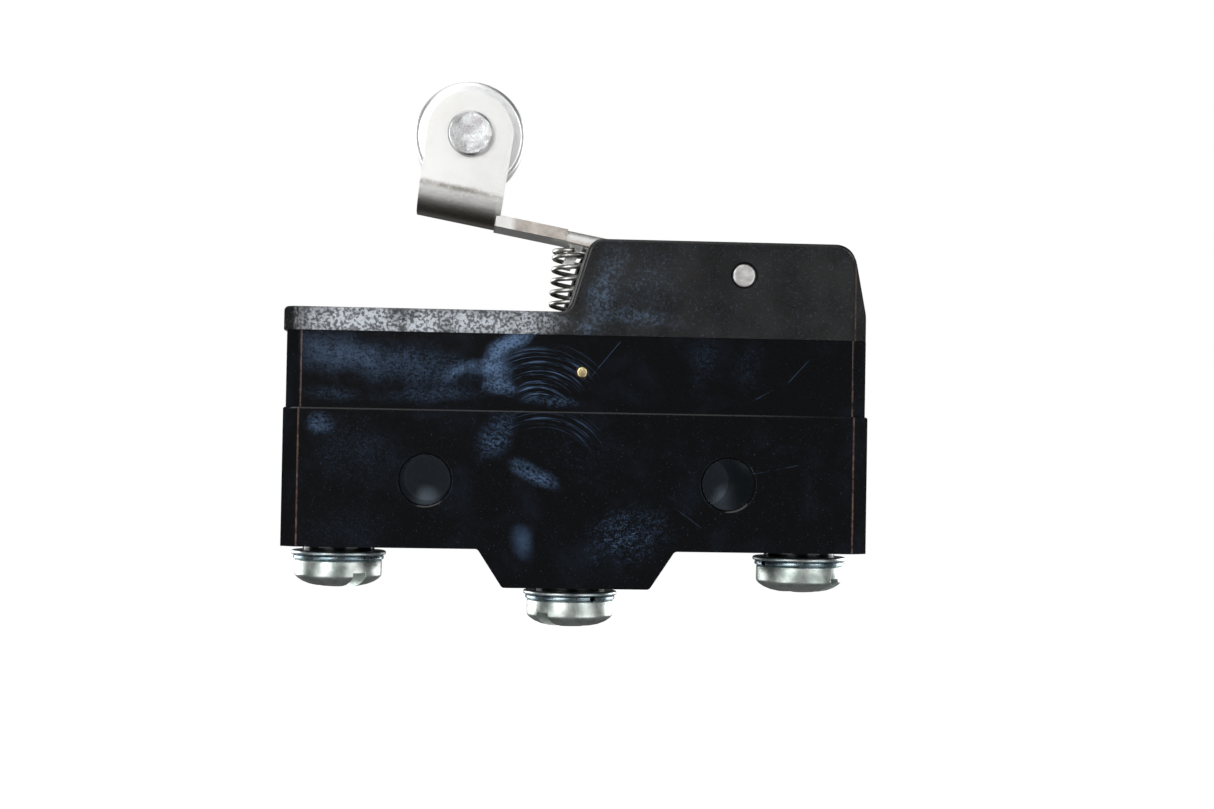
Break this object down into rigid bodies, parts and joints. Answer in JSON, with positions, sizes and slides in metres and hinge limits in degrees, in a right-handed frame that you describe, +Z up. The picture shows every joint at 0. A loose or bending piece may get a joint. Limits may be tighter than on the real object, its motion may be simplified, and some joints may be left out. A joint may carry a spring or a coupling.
{
  "type": "snap action switch",
  "caption": "Snap action switch: black moulded body with mounting holes, hinged roller lever held up by a coil spring, and screw terminals below.",
  "frame": {"origin": "midway between the two mounting holes' axes, halfway through the body's depth", "axes": "+X along the body towards the lever's pivot, +Y along the mounting holes from front to back, +Z up towards the roller"},
  "size_m": [0.0493, 0.0174, 0.047],
  "materials": {
    "phenolic": "glossy black phenolic moulding",
    "housing_moulding": "fine-grained satin black moulding",
    "pin_steel": "matte steel",
    "pin_brass": "plain brass",
    "lever_steel": "satin stainless sheet",
    "roller_steel": "satin turned steel",
    "rivet_steel": "satin steel",
    "spring_steel": "drawn spring wire",
    "plunger_moulding": "red-brown phenolic",
    "spring_bronze": "rolled spring alloy",
    "contact_silver": "silver alloy",
    "terminal_brass": "stamped brass",
    "screw_zinc": "bright zinc plate",
    "washer_zinc": "bright zinc plate",
    "washer_steel": "dark steel"
  },
  "bodies": {
    "housing": {"case": "phenolic", "cover": "phenolic", "lever_housing": "housing_moulding", "pivot_pin": "pin_steel", "cover_pin": "pin_brass", "return_spring": "spring_steel", "snap_spring": "spring_bronze", "common_terminal": "terminal_brass", "normally_open_terminal": "terminal_brass", "normally_closed_terminal": "terminal_brass", "normally_open_contact": "contact_silver", "normally_closed_contact": "contact_silver"},
    "lever": {"lever": "lever_steel", "roller_rivet": "rivet_steel"},
    "roller": {"roller": "roller_steel"},
    "plunger": {"plunger": "plunger_moulding"},
    "contact_blade": {"contact_blade": "spring_bronze", "moving_contact": "contact_silver"},
    "washers_left": {"clamp_washer_left": "washer_zinc", "lock_washer_left": "washer_steel"},
    "screw_left": {"terminal_screw_left": "screw_zinc"},
    "washers_middle": {"clamp_washer_middle": "washer_zinc", "lock_washer_middle": "washer_steel"},
    "screw_middle": {"terminal_screw_middle": "screw_zinc"},
    "washers_right": {"clamp_washer_right": "washer_zinc", "lock_washer_right": "washer_steel"},
    "screw_right": {"terminal_screw_right": "screw_zinc"}
  },
  "joints": [
    {"name": "lever_hinge", "type": "hinge", "parent": "housing", "child": "lever", "pos_m": [0.01376, 0, 0.01761], "axis": [0, -1, 0], "range_deg": [0, 10.4], "stiffness_Nm_per_rad": 0.11, "springref_deg": -10.89, "deforming": ["return_spring"]},
    {"name": "roller_spin", "type": "hinge", "parent": "lever", "child": "roller", "pos_m": [-0.00945, 0, 0.02965], "axis": [0, 1, 0], "continuous": true},
    {"name": "plunger_slide", "type": "slide", "parent": "housing", "child": "plunger", "axis": [0, 0, 1], "range_m": [0, 0.000356]},
    {"name": "contact_blade_hinge", "type": "hinge", "parent": "housing", "child": "contact_blade", "pos_m": [0.02265, 0, 0.00763], "axis": [0, 1, 0], "range_deg": [0, 3.26], "deforming": ["snap_spring"]},
    {"name": "washers_slide_left", "type": "slide", "parent": "housing", "child": "washers_left", "axis": [0, 0, -1], "range_m": [0, 0.0028]},
    {"name": "screw_turn_left", "type": "hinge", "parent": "washers_left", "child": "screw_left", "pos_m": [-0.02015, 0, -0.0063], "axis": [0, 0, -1], "range_deg": [0, 1440]},
    {"name": "washers_slide_middle", "type": "slide", "parent": "housing", "child": "washers_middle", "axis": [0, 0, -1], "range_m": [0, 0.0028]},
    {"name": "screw_turn_middle", "type": "hinge", "parent": "washers_middle", "child": "screw_middle", "pos_m": [0, 0, -0.0095], "axis": [0, 0, -1], "range_deg": [0, 1440]},
    {"name": "washers_slide_right", "type": "slide", "parent": "housing", "child": "washers_right", "axis": [0, 0, -1], "range_m": [0, 0.0028]},
    {"name": "screw_turn_right", "type": "hinge", "parent": "washers_right", "child": "screw_right", "pos_m": [0.02015, 0, -0.0063], "axis": [0, 0, -1], "range_deg": [0, 1440]}
  ],
  "couplings": [
    {"joint": "plunger_slide", "follows": "lever_hinge", "m_per_rad": 0.0019585},
    {"joint": "contact_blade_hinge", "follows": "lever_hinge", "ratio": 0.31345},
    {"joint": "screw_turn_left", "follows": "washers_slide_left", "rad_per_m": 8975.9},
    {"joint": "screw_turn_middle", "follows": "washers_slide_middle", "rad_per_m": 8975.9},
    {"joint": "screw_turn_right", "follows": "washers_slide_right", "rad_per_m": 8975.9}
  ]
}
